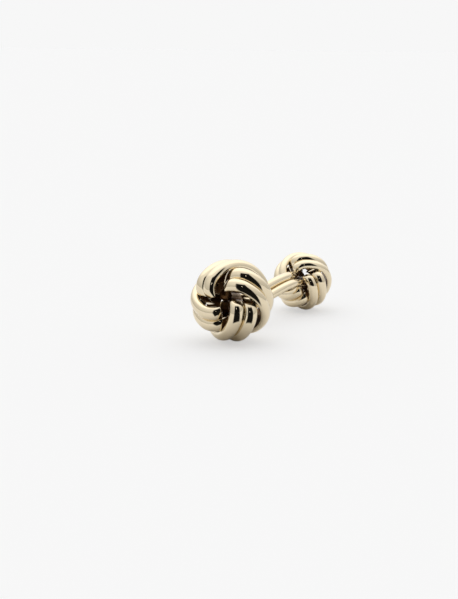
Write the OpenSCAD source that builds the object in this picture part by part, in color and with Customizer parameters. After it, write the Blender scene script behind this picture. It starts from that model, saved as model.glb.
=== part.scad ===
// Double-ended love-knot cufflink: a large and a small ball knot on a curved bar.
// Each knot is woven from four bands, and a band is two half-round strands side by side.
// The bar is two round wires side by side. Lengths are millimetres, angles degrees.
// +X runs from the large knot to the small one, +Z is up, and both knots rest on z = 0.

/* [Knots] */
// Diameter of the ball that the large knot's strands fill
large_ball_d = 12; // [9:0.5:16]
// Diameter of the ball that the small knot's strands fill
small_ball_d = 9.4; // [7:0.2:14]
// Turn of the large knot about its own axis
large_knot_roll = 0; // [-90:1:90]
// Turn of the small knot about its own axis
small_knot_roll = 36; // [-90:1:90]

/* [Weave] */
// Thickness of a strand as a share of its ball, at which four bands close the weave
strand_share = 0.173; // [0.16:0.001:0.176]
// Depth of a strand's flattened inner side, as a share of its rounded outer side
inner_share = 0.5; // [0.4:0.02:0.54]
// Tilt of a band's plane against the plane square to the knot's axis
band_tilt = 50; // [49:1:52]
// Angle from the middle of a strand's crown to its bend beside the opening
near_crown_angle = 48; // [46:1:50]
// Bend of a strand's dive beside the opening, as a share of the ball's radius
near_bend_share = 0.42; // [0.4:0.01:0.44]
// Turning angle at which a strand starts to be drawn thinner beside the opening
near_thinning_angle = 110; // [90:1:114]
// Angle through which a strand has turned where its end inside the opening stops
near_tuck_angle = 140; // [134:1:144]
// Thickness of the end inside the opening, as a share of the strand
near_tuck_share = 0.5; // [0.4:0.02:0.54]
// Angle from the middle of a strand's crown to the bend at its other end
far_crown_angle = 51; // [46:1:52]
// Bend of a strand's dive at its other end, as a share of the ball's radius
far_bend_share = 0.38; // [0.34:0.01:0.39]
// Turning angle at which a strand starts to be drawn thinner at its other end
far_thinning_angle = 95; // [86:1:97]
// Angle through which a strand has turned where its other end stops
far_tuck_angle = 135; // [122:1:137]
// Thickness of that other end, as a share of the strand
far_tuck_share = 0.35; // [0.3:0.01:0.4]
// Clearance between pieces that lie side by side
seat_gap = 0.02; // [0.01:0.01:0.04]

/* [Bar] */
// Level distance between the centres of the knots
knot_spacing = 24; // [20:0.5:32]
// Diameter of a wire of the bar
bar_wire_d = 1.4; // [1:0.05:1.8]
// Radius of the bar's two bends
bar_bend_r = 8; // [6:0.5:12]
// How far the knots' shared axis points sideways of the line between them
axis_yaw = 10.3; // [5:0.1:12]
// How far that axis falls from the large knot to the small one
axis_drop = 13; // [8:0.1:16]
// Depth of the bar's ends below the large ball's outline
large_bar_depth = 4.8; // [3.6:0.1:5]
// Depth of the bar's ends below the small ball's outline
small_bar_depth = 3.8; // [3:0.1:4.1]
// Clearance round the bar where it enters a knot's opening
mouth_gap = 0.05; // [0.03:0.01:0.1]

/* [Hidden] */

// Four bands, a quarter turn apart. The front strand of a band faces the large end.
band_count = 4;
band_step = 360 / band_count;
front = 1;
rear = -1;

// Facets: sides of a round wire, and steps along a crown, a dive and a bar bend
wire_sides = 14;
crown_steps = 10;
dive_steps = 9;
bar_steps = 9;
tip_steps = 6;

// Both knots are one weave at two sizes, and every size of it follows from the ball
function strand_r(ball_r) = strand_share * ball_r;
function bend_r(ball_r, t) = ball_r * (t > 0 ? near_bend_share : far_bend_share);

// A strand's height above its band's middle plane, and its crown's radius, which
// brings the crown's outer side to the ball's outline
function half_pitch(ball_r) = strand_r(ball_r) + seat_gap / 2;
function crown_r(ball_r) =
    sqrt(pow(ball_r - strand_r(ball_r), 2) - pow(half_pitch(ball_r), 2));

// Centre line of a strand at turning angle t: an arc over the crown and a tighter
// bend at each end, all in one plane. Positive angles are the side near the opening.
function heading(t) = [cos(t), sin(t), 0];
function crown_end(t) = t > 0 ? min(t, near_crown_angle) : max(t, -far_crown_angle);
function centre_point(ball_r, t) =
    (crown_r(ball_r) - bend_r(ball_r, t)) * heading(crown_end(t))
    + bend_r(ball_r, t) * heading(t);

// Radius of a strand at turning angle t: full over the crown, thinner where tucked
function ease(f) = f * f * (3 - 2 * f);
function tuck_part(t) = t > 0
    ? max(0, (t - near_thinning_angle) / (near_tuck_angle - near_thinning_angle))
    : max(0, (-t - far_thinning_angle) / (far_tuck_angle - far_thinning_angle));
function tuck_share(t) = t > 0 ? near_tuck_share : far_tuck_share;
function wire_r(ball_r, t) = strand_r(ball_r) * (1 - (1 - tuck_share(t)) * ease(tuck_part(t)));

// Turning angles at which a strand has a ring of points
function steps(from, to, count) = [for (i = [1 : count]) from + (to - from) * i / count];
strand_angles = concat(
    [-far_tuck_angle],
    steps(-far_tuck_angle, -far_crown_angle, dive_steps),
    steps(-far_crown_angle, near_crown_angle, crown_steps),
    steps(near_crown_angle, near_tuck_angle, dive_steps)
);

// Ring of points round a wire, square to its path, whose in-plane normal is out_dir.
// Its inner half is flattened by the share that inner gives, and 1 leaves it round.
function ring(centre, out_dir, r, inner) =
    [for (i = [0 : wire_sides - 1])
        let (a = 360 * i / wire_sides, depth = cos(a) < 0 ? inner * r : r)
        centre + depth * cos(a) * out_dir + [0, 0, r * sin(a)]];
function strand_rings(ball_r) =
    [for (t = strand_angles)
        let (centre = centre_point(ball_r, t) + [0, 0, half_pitch(ball_r)])
        ring(centre, heading(t), wire_r(ball_r, t), inner_share)];
function all_points(rings) = [for (points = rings, p = points) p];
large_rings = strand_rings(large_ball_d / 2);
small_rings = strand_rings(small_ball_d / 2);

// Turns a direction of the part's frame into the frame of one strand
function turn_z(v, a) = [v.x * cos(a) - v.y * sin(a), v.x * sin(a) + v.y * cos(a), v.z];
function turn_y(v, a) = [v.x * cos(a) + v.z * sin(a), v.y, v.z * cos(a) - v.x * sin(a)];
function to_knot(v, roll) = turn_z(turn_y(turn_z(v, -180 - axis_yaw), axis_drop - 90), -roll);
function to_band(v, roll, band) =
    turn_z(turn_y(turn_z(to_knot(v, roll), -band * band_step), -band_tilt), -90);
function to_strand(v, roll, band, side) =
    let (d = to_band(v, roll, band))
    [d.x, side * d.y, side * d.z];

// Furthest reach of a knot from its centre in direction v
function knot_reach(rings, roll, v) =
    max([for (band = [1 : band_count], side = [front, rear])
        let (d = to_strand(v, roll, band, side))
        max([for (p = all_points(rings)) p * d])]);

// Knot centres: each knot rests on z = 0, and the part is centred on X and Y
left_reach = knot_reach(large_rings, large_knot_roll, [-1, 0, 0]);
right_reach = knot_reach(small_rings, small_knot_roll, [1, 0, 0]);
near_reach = knot_reach(large_rings, large_knot_roll, [0, -1, 0]);
away_reach = knot_reach(large_rings, large_knot_roll, [0, 1, 0]);
large_centre = [
    (left_reach - right_reach - knot_spacing) / 2,
    (near_reach - away_reach) / 2,
    knot_reach(large_rings, large_knot_roll, [0, 0, -1])
];
small_centre = [
    large_centre.x + knot_spacing,
    large_centre.y,
    knot_reach(small_rings, small_knot_roll, [0, 0, -1])
];

// The bar leaves each knot along the shared axis and bends once each way between
// them. It lies in the plane of that axis and the line between the knots.
axis_dir = [cos(axis_yaw) * cos(axis_drop), sin(axis_yaw) * cos(axis_drop), -sin(axis_drop)];
span = small_centre - large_centre;
along = span * axis_dir;
across = norm(span - along * axis_dir);
across_dir = (span - along * axis_dir) / across;
normal_dir = cross(axis_dir, across_dir);
bar_turn = acos(1 - across / (2 * bar_bend_r));
straight_total = along - 2 * bar_bend_r * sin(bar_turn);
large_straight = straight_total * large_ball_d / (large_ball_d + small_ball_d);
small_straight = straight_total - large_straight;

// Opening of a knot where the bar enters it: how far a strand's points lie from the
// knot's axis, and how far along it. The strands allow for the facets' own height.
knot_axis = [0, sin(band_tilt), cos(band_tilt)];
function off_axis(p) = norm(cross(p, knot_axis));
function up_axis(p) = abs(p * knot_axis);
function opening_r(rings, height) =
    min([for (p = all_points(rings)) if (up_axis(p) > height) off_axis(p)]);
bar_r = bar_wire_d / 2;
bar_reach = bar_wire_d + seat_gap / 2;
function seat_height(rings) =
    max([for (p = all_points(rings)) if (off_axis(p) < bar_reach + mouth_gap) up_axis(p)]);

// The bar's wires keep their thickness to the strands that they meet and are drawn
// thinner from there, as far as the opening leaves room for the two of them
function drawn_r(rings, height, slack) =
    min(bar_r, (opening_r(rings, height - slack) - mouth_gap - seat_gap / 2) / 2);
function end_stations(rings, ball_r, depth) =
    let (
        slack = strand_r(ball_r) / 2,
        top = seat_height(rings) + slack,
        bottom = ball_r - depth
    )
    [for (i = [0 : tip_steps])
        let (height = bottom + (top - bottom) * i / tip_steps)
        [height, drawn_r(rings, height, slack)]];
large_end = end_stations(large_rings, large_ball_d / 2, large_bar_depth);
small_end = end_stations(small_rings, small_ball_d / 2, small_bar_depth);

// Stations along a bar wire: place in the bar's plane, heading and wire radius
first_bend = [for (a = concat([0], steps(0, bar_turn, bar_steps)))
    [large_straight + bar_bend_r * sin(a), bar_bend_r * (1 - cos(a)), a, bar_r]];
second_bend = [for (a = steps(bar_turn, 0, bar_steps))
    [along - small_straight - bar_bend_r * sin(a), across - bar_bend_r * (1 - cos(a)), a, bar_r]];
bar_stations = concat(
    [for (s = large_end) [s[0], 0, 0, s[1]]],
    first_bend,
    second_bend,
    [for (i = [len(small_end) - 1 : -1 : 0]) [along - small_end[i][0], across, 0, small_end[i][1]]]
);
function bar_rings() =
    [for (s = bar_stations) ring([s[0], s[1], s[3] + seat_gap / 2], heading(s[2] - 90), s[3], 1)];

// Solid wire through a list of rings, with flat ends
module wire(rings) {
    last = len(rings) - 1;
    walls = [for (i = [0 : last - 1], j = [0 : wire_sides - 1])
        let (k = (j + 1) % wire_sides)
        [i * wire_sides + j, i * wire_sides + k,
            (i + 1) * wire_sides + k, (i + 1) * wire_sides + j]];
    first_cap = [for (j = [wire_sides - 1 : -1 : 0]) j];
    last_cap = [for (j = [0 : wire_sides - 1]) last * wire_sides + j];
    polyhedron(points = all_points(rings), faces = concat(walls, [first_cap, last_cap]));
}

// One strand, placed in its knot with the knot's axis on Z
module knot_strand(rings, band, side) {
    rotate([0, 0, band * band_step])
        rotate([0, band_tilt, 0])
            rotate([0, 0, 90])
                rotate([side == front ? 0 : 180, 0, 0])
                    wire(rings);
}

// Puts a knot drawn about Z at its centre, with its axis along the shared direction
module place_knot(centre, roll) {
    translate(centre)
        rotate([0, 0, 180 + axis_yaw])
            rotate([0, 90 - axis_drop, 0])
                rotate([0, 0, roll])
                    children();
}

module large_strand(band, side) {
    color("burlywood")
        place_knot(large_centre, large_knot_roll)
            knot_strand(large_rings, band, side);
}

module small_strand(band, side) {
    color("wheat")
        place_knot(small_centre, small_knot_roll)
            knot_strand(small_rings, band, side);
}

// One wire of the bar, on one side of the bar's plane
module bar_wire(side) {
    color("tan")
        multmatrix([
            [axis_dir.x, across_dir.x, normal_dir.x, large_centre.x],
            [axis_dir.y, across_dir.y, normal_dir.y, large_centre.y],
            [axis_dir.z, across_dir.z, normal_dir.z, large_centre.z]
        ])
            mirror([0, 0, side == front ? 0 : 1])
                wire(bar_rings());
}

large_strand(1, front);  // large_band_1_front_strand
large_strand(1, rear);  // large_band_1_rear_strand
large_strand(2, front);  // large_band_2_front_strand
large_strand(2, rear);  // large_band_2_rear_strand
large_strand(3, front);  // large_band_3_front_strand
large_strand(3, rear);  // large_band_3_rear_strand
large_strand(4, front);  // large_band_4_front_strand
large_strand(4, rear);  // large_band_4_rear_strand
small_strand(1, front);  // small_band_1_front_strand
small_strand(1, rear);  // small_band_1_rear_strand
small_strand(2, front);  // small_band_2_front_strand
small_strand(2, rear);  // small_band_2_rear_strand
small_strand(3, front);  // small_band_3_front_strand
small_strand(3, rear);  // small_band_3_rear_strand
small_strand(4, front);  // small_band_4_front_strand
small_strand(4, rear);  // small_band_4_rear_strand
bar_wire(front);  // bar_upper_wire
bar_wire(rear);  // bar_lower_wire
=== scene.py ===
# %% [markdown]
# # A double-ended love-knot cufflink
# The real object is bent from brass wire, plated pale gold and polished. A large knot
# stays outside the cuff, the small one goes through the buttonholes, and a curved bar
# of two wires joins them. Every length below is in metres, in the same frame as the
# fixed model, with the large knot towards -X and the floor at z = 0.

# %% Load the fixed model
import math

import bpy
from mathutils import Matrix, Vector


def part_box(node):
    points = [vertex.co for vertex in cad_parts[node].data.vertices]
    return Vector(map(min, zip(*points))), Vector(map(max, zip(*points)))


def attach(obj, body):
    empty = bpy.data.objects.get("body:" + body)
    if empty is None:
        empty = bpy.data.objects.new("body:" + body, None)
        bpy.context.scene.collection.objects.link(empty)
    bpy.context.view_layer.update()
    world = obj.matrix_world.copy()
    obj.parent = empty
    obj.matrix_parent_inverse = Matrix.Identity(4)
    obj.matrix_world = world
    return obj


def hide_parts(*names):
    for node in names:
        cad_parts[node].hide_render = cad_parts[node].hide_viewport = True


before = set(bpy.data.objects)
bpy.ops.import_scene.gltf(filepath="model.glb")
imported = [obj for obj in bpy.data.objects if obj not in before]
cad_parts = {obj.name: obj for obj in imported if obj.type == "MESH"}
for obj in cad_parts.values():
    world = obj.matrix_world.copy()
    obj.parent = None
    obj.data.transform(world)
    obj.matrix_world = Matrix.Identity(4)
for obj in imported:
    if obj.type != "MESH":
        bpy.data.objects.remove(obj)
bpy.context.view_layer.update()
MM = 0.001

# %% [markdown]
# ## The weave and the axis
# Each knot is the same weave at its own size. Four bands, a quarter turn apart, pass
# over the ball, and each band is two strands side by side. Both knots share one axis,
# which points a little to +Y and falls towards the small knot. The two balls are given
# by their radius, and a strand's half width and half depth are shares of it. Its flat
# back lies BACK_SHARE of the half depth behind the middle.

# %% Sizes of the weave and the shared axis
LARGE_BALL = 6.0 * MM
SMALL_BALL = 4.7 * MM
HALF_WIDTH = 0.173
HALF_DEPTH = 0.15
BACK_SHARE = 0.3
BAND_TILT = 50
SEAT_GAP = 0.02 * MM
AXIS_YAW = 10.3
AXIS_DROP = 13
LARGE_ROLL = 0
SMALL_ROLL = 36
BANDS = (1, 2, 3, 4)
SIDES = ("front", "rear")


def turn(degrees, axis):
    """A turn about one axis as a 4x4 matrix."""
    return Matrix.Rotation(math.radians(degrees), 4, axis)


def knot_turn(roll):
    """How a knot drawn about Z is turned into the fixed model's frame."""
    return turn(180 + AXIS_YAW, "Z") @ turn(90 - AXIS_DROP, "Y") @ turn(roll, "Z")


def strand_turn(band, side):
    """How one strand is turned inside its knot."""
    flip = turn(0 if side == "front" else 180, "X")
    return turn(90 * band, "Z") @ turn(BAND_TILT, "Y") @ turn(90, "Z") @ flip


print("strand width, mm:", round(2 * HALF_WIDTH * LARGE_BALL / MM, 2))

# %% [markdown]
# ## Bending wire
# A strand is half-round wire bent over the ball, flat side inwards, with a tighter bend
# at each end where it dives under its neighbour. It could be a curve with a bevel
# object, but a ring spun round one bend after another follows the real making and keeps
# the section square to its path. The ring starts as a circle, and its back half is
# pressed onto a plane. Each spin starts where the last one stopped, about its own
# centre. A Subdivision Surface then smooths the change from bend to bend, while creases
# keep the two long edges of the flat back. The bar's wires stay round.
#
# Subdivision draws a ring of points inwards, so each ring starts larger by SMOOTHED_SHARE.

# %% Start a wire and bend it
WIRE_SIDES = 16
SMOOTHED_SHARE = (2 + math.cos(2 * math.pi / WIRE_SIDES)) / 3
NO_CHANGE = 1e-6


def deselect_everything():
    """Leaves no object selected, so that an operator acts on one piece only."""
    if bpy.context.mode != "OBJECT":
        bpy.ops.object.mode_set(mode="OBJECT")
    bpy.ops.object.select_all(action="DESELECT")


def wire_start(name, radius, place, heading_degrees):
    """A circle across the wire's path, left open in edit mode with its ring selected."""
    deselect_everything()
    bpy.ops.mesh.primitive_circle_add(
        vertices=WIRE_SIDES,
        radius=radius / SMOOTHED_SHARE,
        location=place,
        rotation=(math.radians(90), 0, math.radians(heading_degrees)),
    )
    wire = bpy.context.object
    wire.name = name
    wire.data.name = name
    bpy.ops.object.mode_set(mode="EDIT")
    bpy.ops.mesh.select_all(action="SELECT")
    return wire


def bend(angle, centre, steps, thickness=None, middle=None):
    """Spins the open ring round a centre, pressing it flatter or fuller as it goes.

    After each step, thickness gives its shares of the full depth and width, and middle
    gives the point that it is scaled about.
    """
    step_angle = -math.radians(angle) / steps
    for step in range(steps):
        bpy.ops.mesh.spin(steps=1, angle=step_angle, center=centre, axis=(0, 0, 1))
        if thickness:
            deep = thickness(step + 1)[0] / thickness(step)[0]
            wide = thickness(step + 1)[1] / thickness(step)[1]
            if max(abs(deep - 1), abs(wide - 1)) > NO_CHANGE:
                bpy.ops.transform.resize(
                    value=(deep, deep, wide), center_override=middle(step + 1)
                )


print("a wire has", WIRE_SIDES, "sides before it is smoothed")

# %% [markdown]
# The flat back of a strand gets its own material slot, because no buffing wheel
# reaches it. That slot is rougher, and its dark colour is painted shade inside the knot.
# Along the wire, every ring has its points in the same order, so a point's number shows
# its place in the section: 0 and 8 are the sides, and 1 to 7 are the back.

# %% Press the back flat and finish a wire
EDGE_CREASE = 0.6
SMOOTH_LEVELS = 2
BACK_FIRST, BACK_LAST = 1, WIRE_SIDES // 2 - 1
ON_THE_SIDES = 1e-9


def flatten_back(wire, radius, share):
    """Presses the open ring's back half onto a plane, a share of the radius behind."""
    bpy.ops.mesh.select_all(action="DESELECT")
    bpy.ops.object.mode_set(mode="OBJECT")
    for point in wire.data.vertices:
        point.select = point.co.x < -ON_THE_SIDES
    bpy.ops.object.mode_set(mode="EDIT")
    back = wire.matrix_world @ Vector((-share * radius / SMOOTHED_SHARE, 0, 0))
    bpy.ops.transform.resize(value=(0, 1, 1), orient_type="LOCAL", center_override=back)
    bpy.ops.mesh.select_all(action="SELECT")


def strip_back(wire):
    """Gives the flat back its own material slot and keeps its two long edges crisp."""
    bpy.ops.object.mode_set(mode="OBJECT")
    crease = wire.data.attributes.new("crease_edge", "FLOAT", "EDGE")
    for face in wire.data.polygons:
        # Slot 1 is the rougher unbuffed gold, whose dark colour is painted shade.
        if all(BACK_FIRST <= v % WIRE_SIDES <= BACK_LAST for v in face.vertices):
            face.material_index = 1
    for edge in wire.data.edges:
        a, b = (v % WIRE_SIDES for v in edge.vertices)
        if a == b and a in (BACK_FIRST, BACK_LAST):
            crease.data[edge.index].value = EDGE_CREASE
    bpy.ops.object.mode_set(mode="EDIT")


def wire_end(wire):
    """Closes both ends, smooths the wire and puts its place in its mesh."""
    bpy.ops.mesh.select_all(action="SELECT")
    bpy.ops.mesh.fill_holes(sides=0)
    bpy.ops.mesh.select_all(action="SELECT")
    bpy.ops.mesh.normals_make_consistent(inside=False)
    bpy.ops.object.mode_set(mode="OBJECT")
    bpy.ops.object.transform_apply(location=True, rotation=True, scale=True)
    rounding = wire.modifiers.new("rounding", "SUBSURF")
    rounding.levels = rounding.render_levels = SMOOTH_LEVELS
    bpy.ops.object.modifier_apply(modifier=rounding.name)
    bpy.ops.object.shade_smooth()


print("points across a flat back:", BACK_LAST - BACK_FIRST + 1)

# %% [markdown]
# The path of a strand is three arcs in one plane: the dive at the far end, the crown
# round the ball's centre, and the dive at the near end beside the knot's opening. The
# hidden ends are pressed flat and keep their width, so that the strands clear one
# another inside the knot and still close it to the eye.
#
# Each end has its angles from the middle of the crown: where the crown stops, where the
# strand starts to be pressed, and where it ends. The bend's radius is a share of the
# ball's, and deep and wide are the shares of depth and width that the end keeps.

# %% The path of a strand
NEAR = {"crown": 54, "bend": 0.4, "pressed": 100, "end": 124, "deep": 0.5, "wide": 0.95}
FAR = {"crown": 53, "bend": 0.4, "pressed": 78, "end": 165, "deep": 0.18, "wide": 1.0}
DIVE_STEPS = 12
CROWN_STEPS = 9


def heading(t):
    """The direction from the ball's centre at an angle from the middle of the crown."""
    return Vector((math.cos(math.radians(t)), math.sin(math.radians(t)), 0))


def strand_sizes(ball):
    """Half width, lift above the band's middle plane and crown radius in a ball."""
    half_width = HALF_WIDTH * ball
    lift = half_width + SEAT_GAP / 2
    slopes = [math.radians(a) for a in range(-90, 91)]
    crown = min(
        math.sqrt(ball**2 - (lift + half_width * math.sin(a)) ** 2)
        - HALF_DEPTH * ball * math.cos(a)
        for a in slopes
    )
    return half_width, Vector((0, 0, lift)), crown


def path_point(ball, t):
    """Centre line at turning angle t, which is 0 in the middle of the crown."""
    _, lift, crown = strand_sizes(ball)
    bend_r = ball * (NEAR["bend"] if t > 0 else FAR["bend"])
    corner = max(-FAR["crown"], min(NEAR["crown"], t))
    return (crown - bend_r) * heading(corner) + bend_r * heading(t) + lift


def thickness_at(t):
    """Shares of depth and width at turning angle t, with an even change between."""
    end = NEAR if t > 0 else FAR
    f = max(0, (abs(t) - end["pressed"]) / (end["end"] - end["pressed"]))
    f = f * f * (3 - 2 * f)
    return 1 - (1 - end["deep"]) * f, 1 - (1 - end["wide"]) * f


print("crown of a strand, degrees:", FAR["crown"] + NEAR["crown"])

# %% [markdown]
# One strand is bent for each ball size and then copied into its eight places.


# %% Bend one strand
def make_strand(name, ball):
    """One strand of a ball, bent about the ball's centre."""
    half_width, lift, crown = strand_sizes(ball)
    near_r, far_r = ball * NEAR["bend"], ball * FAR["bend"]
    far_step = (FAR["end"] - FAR["crown"]) / DIVE_STEPS
    near_step = (NEAR["end"] - NEAR["crown"]) / DIVE_STEPS
    start = -FAR["end"]
    depth_to_width = HALF_DEPTH / HALF_WIDTH
    strand = wire_start(name, half_width, path_point(ball, start), start)
    flatten_back(strand, half_width, BACK_SHARE)
    start_depth = depth_to_width * FAR["deep"]
    bpy.ops.transform.resize(
        value=(start_depth, start_depth, FAR["wide"]), center_override=path_point(ball, start)
    )
    bend(
        FAR["end"] - FAR["crown"],
        (crown - far_r) * heading(-FAR["crown"]) + lift,
        DIVE_STEPS,
        lambda i: thickness_at(start + i * far_step),
        lambda i: path_point(ball, start + i * far_step),
    )
    bend(FAR["crown"] + NEAR["crown"], lift, CROWN_STEPS)
    bend(
        NEAR["end"] - NEAR["crown"],
        (crown - near_r) * heading(NEAR["crown"]) + lift,
        DIVE_STEPS,
        lambda i: thickness_at(NEAR["crown"] + i * near_step),
        lambda i: path_point(ball, NEAR["crown"] + i * near_step),
    )
    strip_back(strand)
    wire_end(strand)
    return strand


large_pattern = make_strand("large_strand_pattern", LARGE_BALL)
small_pattern = make_strand("small_strand_pattern", SMALL_BALL)
print("points in a strand:", len(large_pattern.data.vertices))

# %% [markdown]
# ## Weaving the knots
# Each copy keeps its own mesh and is turned into its band. The whole knot is then laid
# on the box that the same knot fills in the fixed model, so nothing is placed by eye.


# %% Copy the strands into their bands
def corners(points):
    """Lowest and highest corner of a list of points."""
    low = Vector([min(p[i] for p in points) for i in range(3)])
    high = Vector([max(p[i] for p in points) for i in range(3)])
    return low, high


def weave(knot, pattern, roll):
    """Eight strands of one knot, which replace the eight of the fixed model."""
    strands = {}
    for band in BANDS:
        for side in SIDES:
            strand = pattern.copy()
            strand.data = pattern.data.copy()
            strand.name = strand.data.name = f"{knot}_strand_{band}_{side}"
            strand.data.transform(knot_turn(roll) @ strand_turn(band, side))
            bpy.context.scene.collection.objects.link(strand)
            strands[f"{knot}_band_{band}_{side}_strand"] = strand
    made = corners([v.co for s in strands.values() for v in s.data.vertices])
    fixed = corners([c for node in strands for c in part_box(node)])
    centre = (fixed[0] + fixed[1] - made[0] - made[1]) / 2
    for node, strand in strands.items():
        strand.data.transform(Matrix.Translation(centre))
        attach(strand, "root")
        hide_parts(node)
    bpy.data.objects.remove(pattern)
    return centre, list(strands.values())


large_centre, large_strands = weave("large", large_pattern, LARGE_ROLL)
small_centre, small_strands = weave("small", small_pattern, SMALL_ROLL)
print("large knot's centre, mm:", [round(c / MM, 2) for c in large_centre])
print("small knot's centre, mm:", [round(c / MM, 2) for c in small_centre])

# %% [markdown]
# ## The bar
# Two round wires lie side by side and leave each knot along the shared axis. Because
# the knots' centres aren't quite on one line with it, the bar bends once each way
# between them. It is drawn in the plane of the axis and the centres, first as a
# straight stretch, then as two opposite bends, then straight again.
#
# The ends are measured from the knots' centres, and a negative one runs past its
# centre. Inside the knots they are spread, so that a brazed end can't pull out, and
# faces nearer to a centre than HIDDEN_SHARE of its ball get the rougher unbuffed
# finish, whose dark colour is painted shade inside the knot.

# %% Sizes of the bar
BAR_WIRE = 0.7 * MM
BAR_BEND = 8 * MM
LARGE_END = -1.4 * MM
SMALL_END = -0.5 * MM
HIDDEN_SHARE = 0.7
END_SPREAD = 1.6
END_LENGTH = 0.5 * MM
STRAIGHT_STEPS = 4
SWING_STEPS = 5

axis_yaw, axis_drop = math.radians(AXIS_YAW), math.radians(AXIS_DROP)
axis = Vector(
    (
        math.cos(axis_yaw) * math.cos(axis_drop),
        math.sin(axis_yaw) * math.cos(axis_drop),
        -math.sin(axis_drop),
    )
)
span = small_centre - large_centre
run = span.dot(axis)
sideways = span - run * axis
across = sideways.length
bar_plane = Matrix.Identity(4)
for row in range(3):
    bar_plane[row][0] = axis[row]
    bar_plane[row][1] = sideways[row] / across
    bar_plane[row][2] = axis.cross(sideways / across)[row]
    bar_plane[row][3] = large_centre[row]
swing = math.degrees(math.acos(1 - across / (2 * BAR_BEND)))
bent = 2 * BAR_BEND * math.sin(math.radians(swing))
large_straight = (run - bent) * LARGE_BALL / (LARGE_BALL + SMALL_BALL)
print("the bar swings", round(swing, 1), "degrees each way")


# %% Bend the two wires
def spread(factor, place, side):
    """Makes the open ring larger, away from the other wire."""
    seam = (place[0], place[1], place[2] - side * BAR_WIRE)
    bpy.ops.transform.resize(value=(1, factor, factor), center_override=seam)


def draw_out(length, steps=1):
    """Extrudes the open ring straight on."""
    for _ in range(steps):
        bpy.ops.mesh.extrude_region_move(
            TRANSFORM_OT_translate={"value": (length / steps, 0, 0)}
        )


def is_hidden(point):
    """Whether a point of the bar lies inside a knot."""
    in_large = (point - large_centre).length < HIDDEN_SHARE * LARGE_BALL
    in_small = (point - small_centre).length < HIDDEN_SHARE * SMALL_BALL
    return in_large or in_small


def make_bar_wire(name, node, side):
    """One of the bar's wires, on its own side of the bar's plane."""
    lift = side * (BAR_WIRE + SEAT_GAP / 2)
    wire = wire_start(name, BAR_WIRE, (LARGE_END, 0, lift), 90)
    spread(END_SPREAD, (LARGE_END, 0, lift), side)
    draw_out(END_LENGTH)
    spread(1 / END_SPREAD, (LARGE_END, 0, lift), side)
    draw_out(large_straight - LARGE_END - END_LENGTH, STRAIGHT_STEPS)
    bend(swing, (large_straight, BAR_BEND, lift), SWING_STEPS)
    second = large_straight + bent
    bend(-swing, (second, across - BAR_BEND, lift), SWING_STEPS)
    draw_out(run - SMALL_END - END_LENGTH - second, STRAIGHT_STEPS)
    draw_out(END_LENGTH)
    spread(END_SPREAD, (run - SMALL_END, across, lift), side)
    wire_end(wire)
    wire.data.transform(bar_plane)
    # Faces inside a knot get slot 1, whose dark colour is painted shade.
    for face in wire.data.polygons:
        face.material_index = 1 if is_hidden(face.center) else 0
    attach(wire, "root")
    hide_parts(node)
    return wire


bar_wires = [
    make_bar_wire("bar_wire_upper", "bar_upper_wire", 1),
    make_bar_wire("bar_wire_lower", "bar_lower_wire", -1),
]
print("points in a bar wire:", len(bar_wires[0].data.vertices))

# %% [markdown]
# ## Polished pale-gold plate
# Pale gold plate on brass, buffed with a soft wheel. The eye sees a near mirror in a
# warm champagne colour, so the surroundings draw its lights and darks. Buffing leaves a
# roughness that drifts by a hair. It follows the object's own coordinates and is drawn a
# little coarser than life so that it shows. No wheel reaches the flat backs and the
# bar's ends inside the knots, so they are rougher. Their much darker gold is painted
# shade, standing in for the shade inside the knots.
#
# Noise seldom leaves the span from 0.3 to 0.7, so that span is stretched over the whole
# drift of the roughness.


# %% Colours and helpers for nodes
KNOT_HEX = "E9DABC"
BAR_HEX = "E7D8BA"
# Painted shade: the flat backs and the bar's ends inside the knots get this much darker gold,
# standing in for the shade inside the knots.
PAINTED_SHADE_HEX = "64472C"
WHITE = (1, 1, 1, 1)


def colour(hex_code):
    """An sRGB hex colour as linear numbers."""
    out = []
    for i in (0, 2, 4):
        c = int(hex_code[i : i + 2], 16) / 255
        out.append(c / 12.92 if c <= 0.04045 else ((c + 0.055) / 1.055) ** 2.4)
    return (*out, 1.0)


def add_node(tree, kind, settings=None, inputs=None, links=None):
    """Adds a node with its settings, its socket values and the links into it."""
    node = tree.nodes.new(kind)
    for key, value in (settings or {}).items():
        setattr(node, key, value)
    for key, value in (inputs or {}).items():
        node.inputs[key].default_value = value
    for key, source in (links or {}).items():
        tree.links.new(source, node.inputs[key])
    return node


print("pale gold, linear:", [round(c, 3) for c in colour(KNOT_HEX)])


# %% The gold
BUFFED = 0.08
DRAWN = 0.1
UNBUFFED = 0.35
SWIRL = 1.5 * MM
ROUGHNESS_DRIFT = 0.3
NOISE_SPAN = (0.3, 0.7)


def gold_plate(name, hex_code, roughness):
    """Gold plate on brass, whose roughness drifts a little from place to place."""
    material = bpy.data.materials.new(name)
    material.use_nodes = True
    tree = material.node_tree
    metal = tree.nodes["Principled BSDF"]
    metal.inputs["Base Color"].default_value = colour(hex_code)
    metal.inputs["Metallic"].default_value = 1.0
    place = add_node(tree, "ShaderNodeTexCoord")
    swirl = add_node(
        tree,
        "ShaderNodeTexNoise",
        inputs={"Scale": 1 / SWIRL, "Detail": 3.0, "Roughness": 0.6},
        links={"Vector": place.outputs["Object"]},
    )
    drift = add_node(
        tree,
        "ShaderNodeMapRange",
        inputs={
            "From Min": NOISE_SPAN[0],
            "From Max": NOISE_SPAN[1],
            "To Min": roughness * (1 - ROUGHNESS_DRIFT),
            "To Max": roughness * (1 + ROUGHNESS_DRIFT),
        },
        links={"Value": swirl.outputs["Fac"]},
    )
    tree.links.new(drift.outputs["Result"], metal.inputs["Roughness"])
    return material


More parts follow.
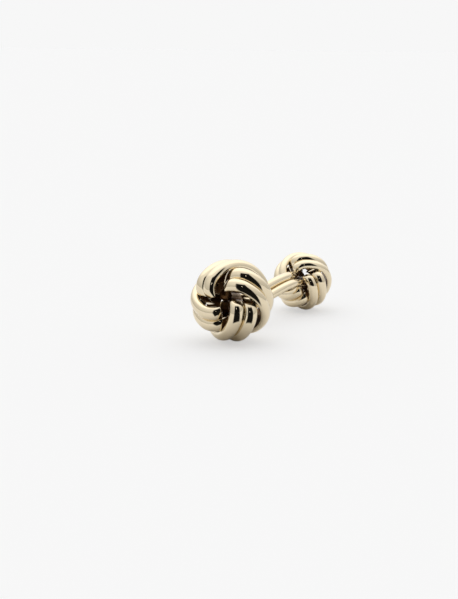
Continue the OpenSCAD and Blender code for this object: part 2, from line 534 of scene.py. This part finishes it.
knot_gold = gold_plate("pale gold plate on brass, buffed", KNOT_HEX, BUFFED)
bar_gold = gold_plate("pale gold plate on drawn brass, buffed", BAR_HEX, DRAWN)
# The third plate is rough and unbuffed, and its dark colour is painted shade.
painted_shade_gold = gold_plate("gold plate on brass, unbuffed, darkened as painted shade", PAINTED_SHADE_HEX, UNBUFFED)
for pieces, front_gold in ((large_strands + small_strands, knot_gold), (bar_wires, bar_gold)):
    for piece in pieces:
        piece.data.materials.append(front_gold)
        # Slot 1 on every piece holds the painted shade.
        piece.data.materials.append(painted_shade_gold)
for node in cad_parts.values():
    node.data.materials.clear()
    node.data.materials.append(bar_gold if node.name.startswith("bar") else knot_gold)
print("materials:", [m.name for m in (knot_gold, bar_gold, painted_shade_gold)])

# %% [markdown]
# ## The camera
# A long lens close to the table, a little above it, looks along the cufflink from the
# large knot's side, so that the bar runs away behind the large knot. It aims a few
# pixels beside the large knot's centre, as the picture is framed.

# %% Place the camera
PICTURE = (458, 599)
FOCAL_PIXELS = 1300
DISTANCE = 186 * MM
LOOK_YAW = 28
LOOK_DOWN = 11.9
AIM_LEFT = 2.9
AIM_UP = 0.7
SENSOR = 36
NEAREST, FURTHEST = 0.01, 20

look_yaw, look_down = math.radians(LOOK_YAW), math.radians(LOOK_DOWN)
forward = Vector(
    (
        math.cos(look_yaw) * math.cos(look_down),
        math.sin(look_yaw) * math.cos(look_down),
        -math.sin(look_down),
    )
)
right = forward.cross(Vector((0, 0, 1))).normalized()
up = right.cross(forward)
camera_data = bpy.data.cameras.new("camera")
camera = bpy.data.objects.new("camera", camera_data)
bpy.context.scene.collection.objects.link(camera)
bpy.context.scene.camera = camera
camera_data.sensor_width = SENSOR
camera_data.lens = SENSOR * FOCAL_PIXELS / max(PICTURE)
camera_data.clip_start, camera_data.clip_end = NEAREST, FURTHEST
left_by = right * (AIM_LEFT / FOCAL_PIXELS * DISTANCE)
up_by = up * (AIM_UP / FOCAL_PIXELS * DISTANCE)
camera.location = large_centre - left_by + up_by - forward * DISTANCE
camera.rotation_mode = "QUATERNION"
camera.rotation_quaternion = forward.to_track_quat("-Z", "Y")
print("camera at, mm:", [round(c / MM) for c in camera.location])

# %% [markdown]
# ## Studio light
# A white tent round the set, brighter overhead. Its door stands open to the right of
# the camera, and the dark room behind it is what the polished strands mirror as black
# leaves. A soft lamp stands above and behind the set, and a distant bulb in the room
# leaves small points of light in the leaves. The tent is the world's own light, because
# a wide even source is all that such a set has.
#
# Directions are in degrees, to the right of the way to the camera and above the floor.
# Small helpers turn a direction into a strength: along says how far it reaches along
# another one, smooth blends softly from one value to the next while a third runs over a
# span, and combine joins two values.


# %% Directions and soft changes
def aside(degrees):
    """The level direction that many degrees to the right of the way to the camera."""
    to_camera = Vector((-math.cos(look_yaw), -math.sin(look_yaw), 0))
    return Matrix.Rotation(math.radians(degrees), 3, "Z") @ to_camera


def sine(degrees):
    """The sine of an angle in degrees."""
    return math.sin(math.radians(degrees))


def combine(tree, operation, a, b):
    """Two values joined by a math node. A plain number may stand for one of them."""
    numbers, links = {}, {}
    for socket, value in enumerate((a, b)):
        (numbers if isinstance(value, (int, float)) else links)[socket] = value
    return add_node(tree, "ShaderNodeMath", {"operation": operation}, numbers, links).outputs[0]


def along(tree, vector, normal):
    """How far a vector reaches along a direction."""
    settings = {"operation": "DOT_PRODUCT"}
    dot = add_node(tree, "ShaderNodeVectorMath", settings, {1: normal}, {0: vector})
    return dot.outputs["Value"]


def smooth(tree, value, low, high, from_value=0.0, to_value=1.0):
    """A soft change from one value to another while a third runs from low to high."""
    settings = {"interpolation_type": "SMOOTHSTEP"}
    ends = {"From Min": low, "From Max": high, "To Min": from_value, "To Max": to_value}
    step = add_node(tree, "ShaderNodeMapRange", settings, ends, {"Value": value})
    return step.outputs["Result"]


print("straight to the right of the camera:", [round(c, 2) for c in aside(90)])

# %% The tent's open door
DOOR_LEFT = -22
DOOR_RIGHT = 54
DOOR_TOP = (48, 62)
DOOR_SOFT = 4
DOOR_LEVEL = 0.01

world = bpy.data.worlds.new("white tent")
bpy.context.scene.world = world
world.use_nodes = True
tree = world.node_tree
tree.nodes.clear()
direction = add_node(tree, "ShaderNodeTexCoord").outputs["Generated"]
upward = along(tree, direction, Vector((0, 0, 1)))
soft = sine(DOOR_SOFT)
right_of_left_edge = smooth(tree, along(tree, direction, aside(90 + DOOR_LEFT)), -soft, soft)
left_of_right_edge = smooth(
    tree, along(tree, direction, aside(90 + DOOR_RIGHT)), -soft, soft, 1.0, 0.0
)
below_top = smooth(tree, upward, sine(DOOR_TOP[0]), sine(DOOR_TOP[1]), 1 - DOOR_LEVEL, 0.0)
doorway = combine(tree, "MULTIPLY", right_of_left_edge, left_of_right_edge)
shut = combine(tree, "SUBTRACT", 1.0, combine(tree, "MULTIPLY", doorway, below_top))
print("the door spans", DOOR_RIGHT - DOOR_LEFT, "degrees")

# %% The tent, its lamps and the plain backdrop
TENT_LOW = 0.62
TENT_HIGH = 1.0
LAMP = {"at": (175, 50), "edge": (60, 30), "gain": 0.5}
BULB = {"at": (10, 24), "edge": (2.2, 1.2), "gain": 4}
BACKGROUND = "F7F7F7"


def shine(lamp):
    """What a round lamp adds: its direction, the soft edge of its disc, and its level."""
    way, height = lamp["at"]
    height = math.radians(height)
    to_lamp = aside(way) * math.cos(height) + Vector((0, 0, math.sin(height)))
    outer, inner = (math.cos(math.radians(a)) for a in lamp["edge"])
    return smooth(tree, along(tree, direction, to_lamp), outer, inner, 0.0, lamp["gain"])


cloth = smooth(tree, upward, 0.0, 1.0, TENT_LOW, TENT_HIGH)
inside_tent = combine(tree, "MULTIPLY", combine(tree, "ADD", cloth, shine(LAMP)), shut)
strength = combine(tree, "ADD", inside_tent, shine(BULB))
tent = add_node(tree, "ShaderNodeBackground", None, {"Color": WHITE}, {"Strength": strength})
backdrop = add_node(
    tree, "ShaderNodeBackground", None, {"Color": colour(BACKGROUND), "Strength": 1.0}
)
ray = add_node(tree, "ShaderNodeLightPath")
pick = add_node(
    tree,
    "ShaderNodeMixShader",
    links={0: ray.outputs["Is Camera Ray"], 1: tent.outputs[0], 2: backdrop.outputs[0]},
)
add_node(tree, "ShaderNodeOutputWorld", links={"Surface": pick.outputs[0]})
print("the tent's strength runs from", TENT_LOW, "to", TENT_HIGH)

# %% [markdown]
# ## The floor
# White paper, which keeps the cufflink's contact shadows. For the camera alone it is
# greyer and glows, which brings it up to the backdrop's tone and lifts the shadows as a
# fill light would. In the metal the paper mirrors white near the large knot. Further
# out, on the door's side, it mirrors as dark as the room.

# %% Lay the floor
FLOOR_SIZE = 4
FLOOR_HEX = "F7F7F7"
SEEN_FLOOR_HEX = "AFAFAF"
FLOOR_GLOW = 0.516
PAPER_ROUGHNESS = 0.9
WHITE_PATCH = 4 * MM
PATCH_SHIFT = 0.75
PATCH_SOFT = 2 * MM

deselect_everything()
bpy.ops.mesh.primitive_plane_add(size=FLOOR_SIZE, location=(0, 0, 0))
floor = bpy.context.object
floor.name = "paper_floor"
paper = bpy.data.materials.new("white paper, matte")
paper.use_nodes = True
tree = paper.node_tree
floor.data.materials.append(paper)
print("floor laid,", FLOOR_SIZE, "m square")

# %% Where the metal sees the dark floor
place = add_node(tree, "ShaderNodeTexCoord").outputs["Object"]
foot = large_centre + aside((DOOR_LEFT + DOOR_RIGHT) / 2) * LARGE_BALL * PATCH_SHIFT
offset = add_node(
    tree,
    "ShaderNodeVectorMath",
    {"operation": "SUBTRACT"},
    {1: (foot.x, foot.y, 0)},
    {0: place},
).outputs["Vector"]
reach = add_node(tree, "ShaderNodeVectorMath", {"operation": "LENGTH"}, None, {0: offset})
before_door = combine(
    tree,
    "MULTIPLY",
    smooth(tree, along(tree, offset, aside(90 + DOOR_LEFT)), -PATCH_SOFT, 0.0),
    smooth(tree, along(tree, offset, aside(90 + DOOR_RIGHT)), 0.0, PATCH_SOFT, 1.0, 0.0),
)
far_off = smooth(tree, reach.outputs["Value"], WHITE_PATCH, WHITE_PATCH + PATCH_SOFT)
ray = add_node(tree, "ShaderNodeLightPath")
dark = combine(
    tree,
    "MULTIPLY",
    combine(tree, "MULTIPLY", before_door, far_off),
    ray.outputs["Is Glossy Ray"],
)
print("white patch's centre, mm:", [round(c / MM, 1) for c in foot[:2]])

# %% The paper
tone = add_node(
    tree,
    "ShaderNodeMix",
    {"data_type": "RGBA"},
    {"A": colour(FLOOR_HEX), "B": (DOOR_LEVEL, DOOR_LEVEL, DOOR_LEVEL, 1)},
    {"Factor": dark},
)
seen_tone = add_node(
    tree,
    "ShaderNodeMix",
    {"data_type": "RGBA"},
    {"B": colour(SEEN_FLOOR_HEX)},
    {"Factor": ray.outputs["Is Camera Ray"], "A": tone.outputs["Result"]},
)
glow = combine(tree, "MULTIPLY", ray.outputs["Is Camera Ray"], FLOOR_GLOW)
sheet = tree.nodes["Principled BSDF"]
sheet.inputs["Roughness"].default_value = PAPER_ROUGHNESS
sheet.inputs["Specular IOR Level"].default_value = 0.0
sheet.inputs["Emission Color"].default_value = WHITE
tree.links.new(seen_tone.outputs["Result"], sheet.inputs["Base Color"])
tree.links.new(glow, sheet.inputs["Emission Strength"])
print("paper glows for the camera by", FLOOR_GLOW)

# %% [markdown]
# ## Finish
# The view transform is plain.

# %% Finish
bpy.context.scene.view_settings.view_transform = "Standard"
